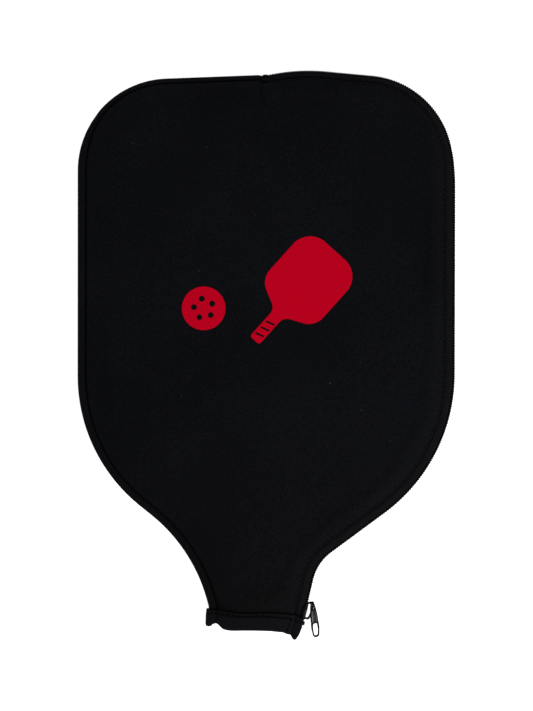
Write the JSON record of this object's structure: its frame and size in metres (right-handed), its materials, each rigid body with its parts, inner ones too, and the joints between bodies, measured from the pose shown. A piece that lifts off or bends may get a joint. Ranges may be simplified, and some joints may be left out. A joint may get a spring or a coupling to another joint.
{
  "type": "paddle cover",
  "caption": "Black padded zip-up cover for a court-sport paddle, with a bound neck mouth and a red paddle-and-ball sign.",
  "frame": {"origin": "centre of the back's flat face, which lies on the ground", "axes": "+Z out of the front, +Y from the neck mouth to the closed end, +X towards the zip"},
  "size_m": [0.2172, 0.3275, 0.0214],
  "materials": {
    "foam_rubber": "matte",
    "zip_tape": "woven",
    "zip_coil": "semi-gloss",
    "zip_stop": "satin",
    "binding": "twill",
    "thread": "satin",
    "emblem_film": "satin",
    "slider_metal": "gunmetal"
  },
  "bodies": {
    "case": {"back_panel": "foam_rubber", "front_panel_fixed": "foam_rubber", "zip_tape_back": "zip_tape", "zip_coil_back": "zip_coil", "zip_end_stop": "zip_stop", "zip_start_tack": "thread", "hem_band_back": "binding", "seam_stitch_front": "thread", "seam_stitch_back": "thread", "zip_stitch_back": "thread", "emblem_ball": "emblem_film"},
    "flap": {"front_panel_flap": "foam_rubber", "zip_tape_front": "zip_tape", "zip_coil_front": "zip_coil", "hem_band_front": "binding", "hem_stitch_front": "thread", "hem_end_tack": "thread", "zip_stitch_front": "thread", "emblem_paddle": "emblem_film"},
    "slider": {"slider_body": "slider_metal", "slider_bail": "slider_metal"},
    "pull": {"pull_tab": "slider_metal"}
  },
  "joints": [
    {"name": "flap_opens", "type": "hinge", "parent": "case", "child": "flap", "pos_m": [-0.01875, 0.0075, 0.0204], "axis": [-0.1024, -0.9947, 0], "range_deg": [0, 120]},
    {"name": "slider_runs", "type": "slide", "parent": "case", "child": "slider", "axis": [0.2313, 0.9729, 0], "range_m": [0, 0.012]},
    {"name": "pull_swings", "type": "hinge", "parent": "slider", "child": "pull", "pos_m": [0.02552, -0.14373, 0.0075], "axis": [0, 0, 1], "range_deg": [0, 120]}
  ]
}
